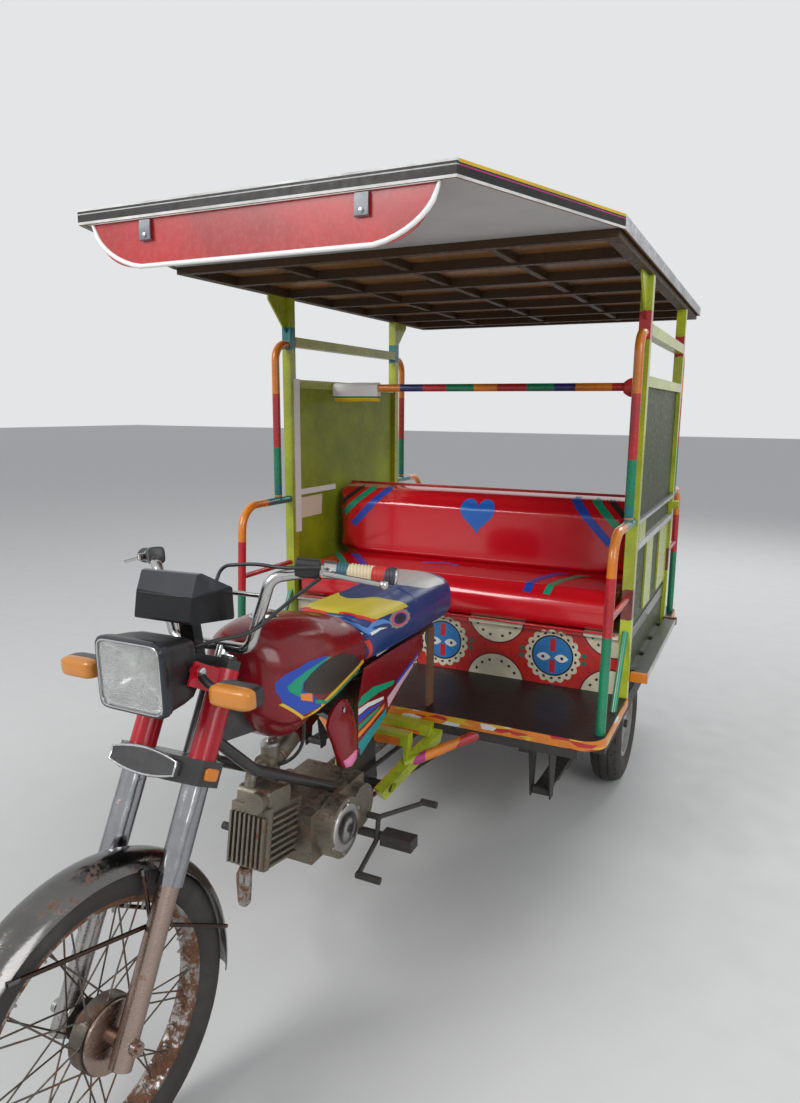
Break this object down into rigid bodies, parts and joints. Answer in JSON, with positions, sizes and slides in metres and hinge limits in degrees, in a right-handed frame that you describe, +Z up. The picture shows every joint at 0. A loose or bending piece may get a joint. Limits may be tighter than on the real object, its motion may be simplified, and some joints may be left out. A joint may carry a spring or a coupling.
{
  "type": "motorcycle rickshaw",
  "caption": "Motorcycle-fronted passenger rickshaw with a roofed open cabin, back-to-back benches and step decks at both ends.",
  "frame": {"origin": "on the ground, midway between the front wheel's foremost point and the rear deck's end", "axes": "+X is the vehicle's left, +Y points backwards, +Z up; it drives towards -Y"},
  "size_m": [1.308, 2.9739, 1.7139],
  "materials": {
    "tyre": "black rubber, dusty",
    "rusty_chrome": "chrome gone to brown rust",
    "chrome": "worn chrome",
    "coppery_steel": "worn metal with a coppery tint",
    "black_paint": "satin black",
    "red_paint": "candy red gloss",
    "black_plastic": "matt black",
    "clear_lens": "ribbed clear lens",
    "grip_rubber": "banded rubber grip",
    "maroon_paint": "metallic maroon with blue, green and yellow stripes",
    "blue_vinyl": "dark blue vinyl",
    "engine_alloy": "oily cast alloy",
    "green_paint": "yellow-green gloss, chipped",
    "brown_paint": "brown, worn",
    "dark_steel": "greasy dark steel",
    "silver_paint": "silver wheel paint",
    "deck_rubber": "black ribbed rubber sheet",
    "edge_paint": "orange, yellow, red and white strips",
    "red_vinyl": "glossy red vinyl with diagonal stripes",
    "patterned_board": "red board with rosettes",
    "olive_panel": "dark olive",
    "stainless": "bright strip",
    "banded_paint": "orange, red and green bands",
    "roof_sheet": "weathered sheet",
    "roof_ribs": "dark brown",
    "ceiling_sheet": "light grey",
    "sign_paint": "dark red, blank, pale edge"
  },
  "bodies": {
    "chassis": {"bike_frame": "black_paint", "fuel_tank": "maroon_paint", "rider_seat": "blue_vinyl", "side_covers": "maroon_paint", "engine": "engine_alloy", "exhaust": "rusty_chrome", "foot_controls": "dark_steel", "tow_frame": "green_paint", "seat_posts": "brown_paint", "underframe": "dark_steel", "spring_hangers": "dark_steel", "leaf_springs": "dark_steel", "rear_axle": "dark_steel", "chain_drive": "dark_steel", "decks": "deck_rubber", "deck_edges": "edge_paint", "seat_box": "patterned_board", "bench_cushions": "red_vinyl", "backrests": "red_vinyl", "side_frames": "green_paint", "side_panels": "olive_panel", "side_trims": "stainless", "side_guards": "chrome", "upper_hoops": "banded_paint", "lower_hoops": "banded_paint", "hoop_rails": "banded_paint", "head_bar": "banded_paint", "roof_panel": "roof_sheet", "roof_ribs": "roof_ribs", "roof_rails": "roof_ribs", "front_ceiling": "ceiling_sheet", "sign_board": "sign_paint"},
    "front_wheel": {"front_tyre": "tyre", "front_rim": "rusty_chrome", "front_hub": "engine_alloy"},
    "steering": {"fork_sliders": "coppery_steel", "fork_covers": "chrome", "fork_yokes": "black_paint", "headlight_ears": "red_paint", "headlight_shell": "black_plastic", "headlight_lens": "clear_lens", "speedometer": "black_plastic", "handlebar": "rusty_chrome", "grips": "grip_rubber", "indicators": "black_plastic", "front_mudguard": "rusty_chrome", "control_cables": "black_plastic"},
    "rear_wheel_left": {"rear_tyre_left": "tyre", "rear_wheel_left": "silver_paint"},
    "rear_wheel_right": {"rear_tyre_right": "tyre", "rear_wheel_right": "silver_paint"}
  },
  "joints": [
    {"name": "steering_turn", "type": "hinge", "parent": "chassis", "child": "steering", "pos_m": [0, -1.28618, 0], "axis": [0, 0.4602, 0.8878], "range_deg": [-32.7, 43.3]},
    {"name": "front_wheel_spin", "type": "hinge", "parent": "steering", "child": "front_wheel", "pos_m": [-0.00562, -1.21094, 0.27688], "axis": [0.9957, -0.082, 0.0425], "continuous": true},
    {"name": "rear_wheel_left_spin", "type": "hinge", "parent": "chassis", "child": "rear_wheel_left", "pos_m": [0.505, 0.69083, 0.208], "axis": [1, 0, 0], "continuous": true},
    {"name": "rear_wheel_right_spin", "type": "hinge", "parent": "chassis", "child": "rear_wheel_right", "pos_m": [-0.505, 0.69083, 0.208], "axis": [1, 0, 0], "continuous": true}
  ]
}
